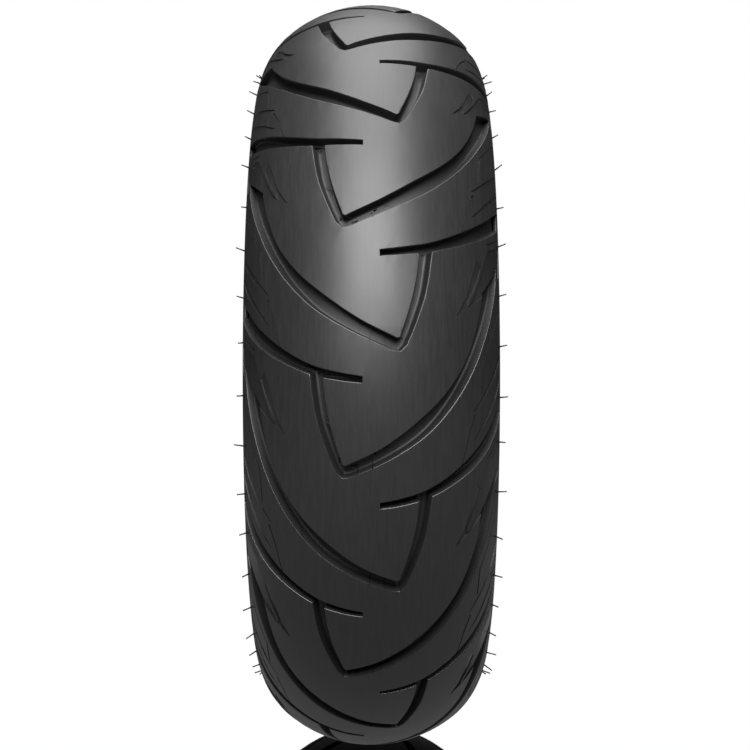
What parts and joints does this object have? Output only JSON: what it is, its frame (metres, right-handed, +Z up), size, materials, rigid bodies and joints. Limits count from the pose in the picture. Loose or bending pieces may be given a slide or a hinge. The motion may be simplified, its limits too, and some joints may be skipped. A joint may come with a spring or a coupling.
{
  "type": "motorcycle tire",
  "caption": "Tubeless small-wheel motorcycle tyre with chevron grooves, cushioning and gripping the road on a wide rim.",
  "frame": {"origin": "centre of the wheel, on the axle line and midway between the two beads", "axes": "+Y along the wheel's axle, +Z up with the tyre standing upright, +X forwards"},
  "size_m": [0.436, 0.1374, 0.436],
  "materials": {
    "tread_rubber": "satin black rubber",
    "sidewall_rubber": "satin black rubber",
    "liner_rubber": "satin black rubber",
    "base_rubber": "matt black rubber",
    "ply_fabric": "rubbered nylon cord",
    "breaker_fabric": "rubbered nylon cord",
    "chafer_fabric": "rubbered woven nylon",
    "bead_steel": "bronze plated wire"
  },
  "bodies": {
    "root": {"tread_cap": "tread_rubber", "tread_base": "base_rubber", "breaker_ply_inner": "breaker_fabric", "breaker_ply_outer": "breaker_fabric", "body_ply_outer": "ply_fabric", "body_ply_inner": "ply_fabric", "tie_gum": "base_rubber", "inner_liner": "liner_rubber", "breaker_edge_strip_left": "base_rubber", "breaker_edge_strip_right": "base_rubber", "tread_wing_left": "base_rubber", "tread_wing_right": "base_rubber", "sidewall_left": "sidewall_rubber", "sidewall_right": "sidewall_rubber", "rim_strip_left": "sidewall_rubber", "rim_strip_right": "sidewall_rubber", "chafer_left": "chafer_fabric", "chafer_right": "chafer_fabric", "bead_filler_left": "base_rubber", "bead_filler_right": "base_rubber", "bead_wrap_left": "chafer_fabric", "bead_wrap_right": "chafer_fabric", "bead_insulation_left": "base_rubber", "bead_insulation_right": "base_rubber", "bead_wires_left": "bead_steel", "bead_wires_right": "bead_steel", "vent_spews_left": "tread_rubber", "vent_spews_right": "tread_rubber"}
  },
  "joints": []
}
